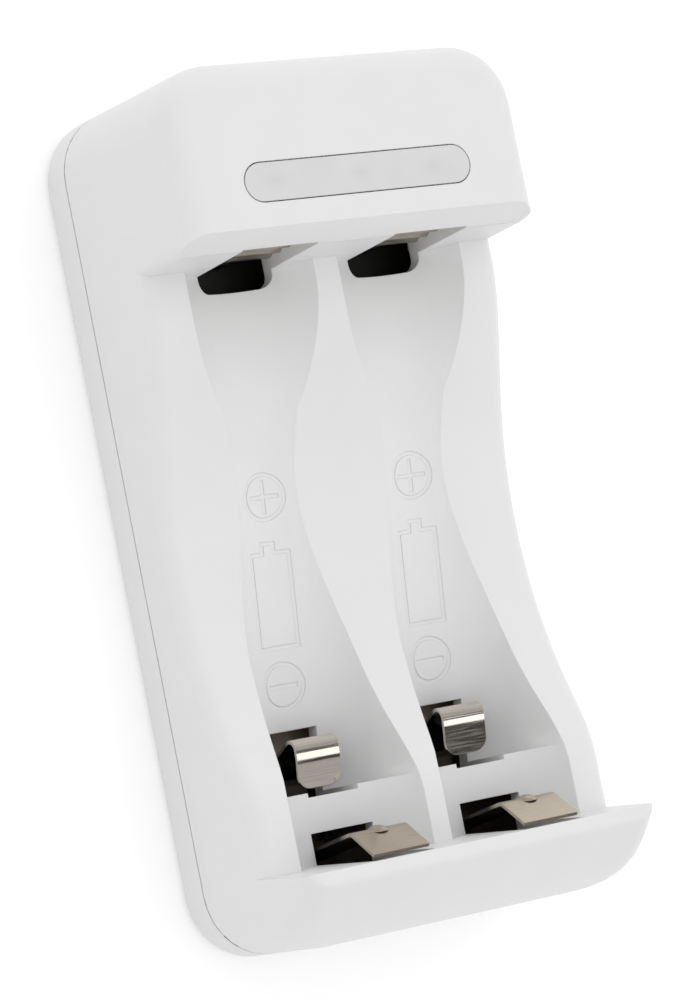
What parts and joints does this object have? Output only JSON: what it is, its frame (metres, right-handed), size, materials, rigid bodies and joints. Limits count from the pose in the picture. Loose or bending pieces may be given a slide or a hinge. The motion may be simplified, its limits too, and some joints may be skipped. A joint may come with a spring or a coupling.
{
  "type": "battery charger",
  "caption": "Flat charger for AA and AAA cells: rounded head with an indicator window, saddle-shaped body with side-by-side stepped cell channels, bent spring contacts and a raised end lip.",
  "frame": {"origin": "middle of the back face, on which the charger lies", "axes": "+Z out of the back face towards the front, +Y along the case from the end lip to the head, +X to the right seen from the front with the head up"},
  "size_m": [0.0364, 0.0744, 0.0222],
  "materials": {
    "case": "satin white moulding",
    "window": "translucent, flush with the head",
    "contact": "nickel-plated strip",
    "board": "solder mask",
    "inlet": "plated sheet",
    "dark_part": "moulded black",
    "led": "clear",
    "can": "plain can",
    "lead": "insulated wire",
    "screw": "plated"
  },
  "bodies": {
    "case": {"front_shell": "case", "rear_cover": "case", "indicator_window": "window", "positive_contact_left": "contact", "positive_contact_right": "contact", "circuit_board": "board", "usb_shell": "inlet", "usb_tongue": "dark_part", "led_left": "led", "led_right": "led", "charge_controller": "dark_part", "transistor_left": "dark_part", "transistor_right": "dark_part", "sense_resistors": "dark_part", "input_capacitor": "can", "diodes": "dark_part", "lead_left": "lead", "lead_right": "lead", "case_screws": "screw"},
    "aaa_spring_left": {"aaa_contact_left": "contact"},
    "aaa_spring_right": {"aaa_contact_right": "contact"},
    "aa_spring_left": {"aa_contact_left": "contact"},
    "aa_spring_right": {"aa_contact_right": "contact"}
  },
  "joints": [
    {"name": "aaa_spring_left_bend", "type": "hinge", "parent": "case", "child": "aaa_spring_left", "pos_m": [-0.0076, -0.02258, 0.00215], "axis": [1, 0, 0], "range_deg": [0, 18], "stiffness_Nm_per_rad": 0.04},
    {"name": "aaa_spring_right_bend", "type": "hinge", "parent": "case", "child": "aaa_spring_right", "pos_m": [0.0076, -0.02258, 0.00215], "axis": [1, 0, 0], "range_deg": [0, 18], "stiffness_Nm_per_rad": 0.04},
    {"name": "aa_spring_left_bend", "type": "hinge", "parent": "case", "child": "aa_spring_left", "pos_m": [-0.0076, -0.03021, 0.00215], "axis": [1, 0, 0], "range_deg": [0, 2], "stiffness_Nm_per_rad": 0.4},
    {"name": "aa_spring_right_bend", "type": "hinge", "parent": "case", "child": "aa_spring_right", "pos_m": [0.0076, -0.03021, 0.00215], "axis": [1, 0, 0], "range_deg": [0, 2], "stiffness_Nm_per_rad": 0.4}
  ]
}
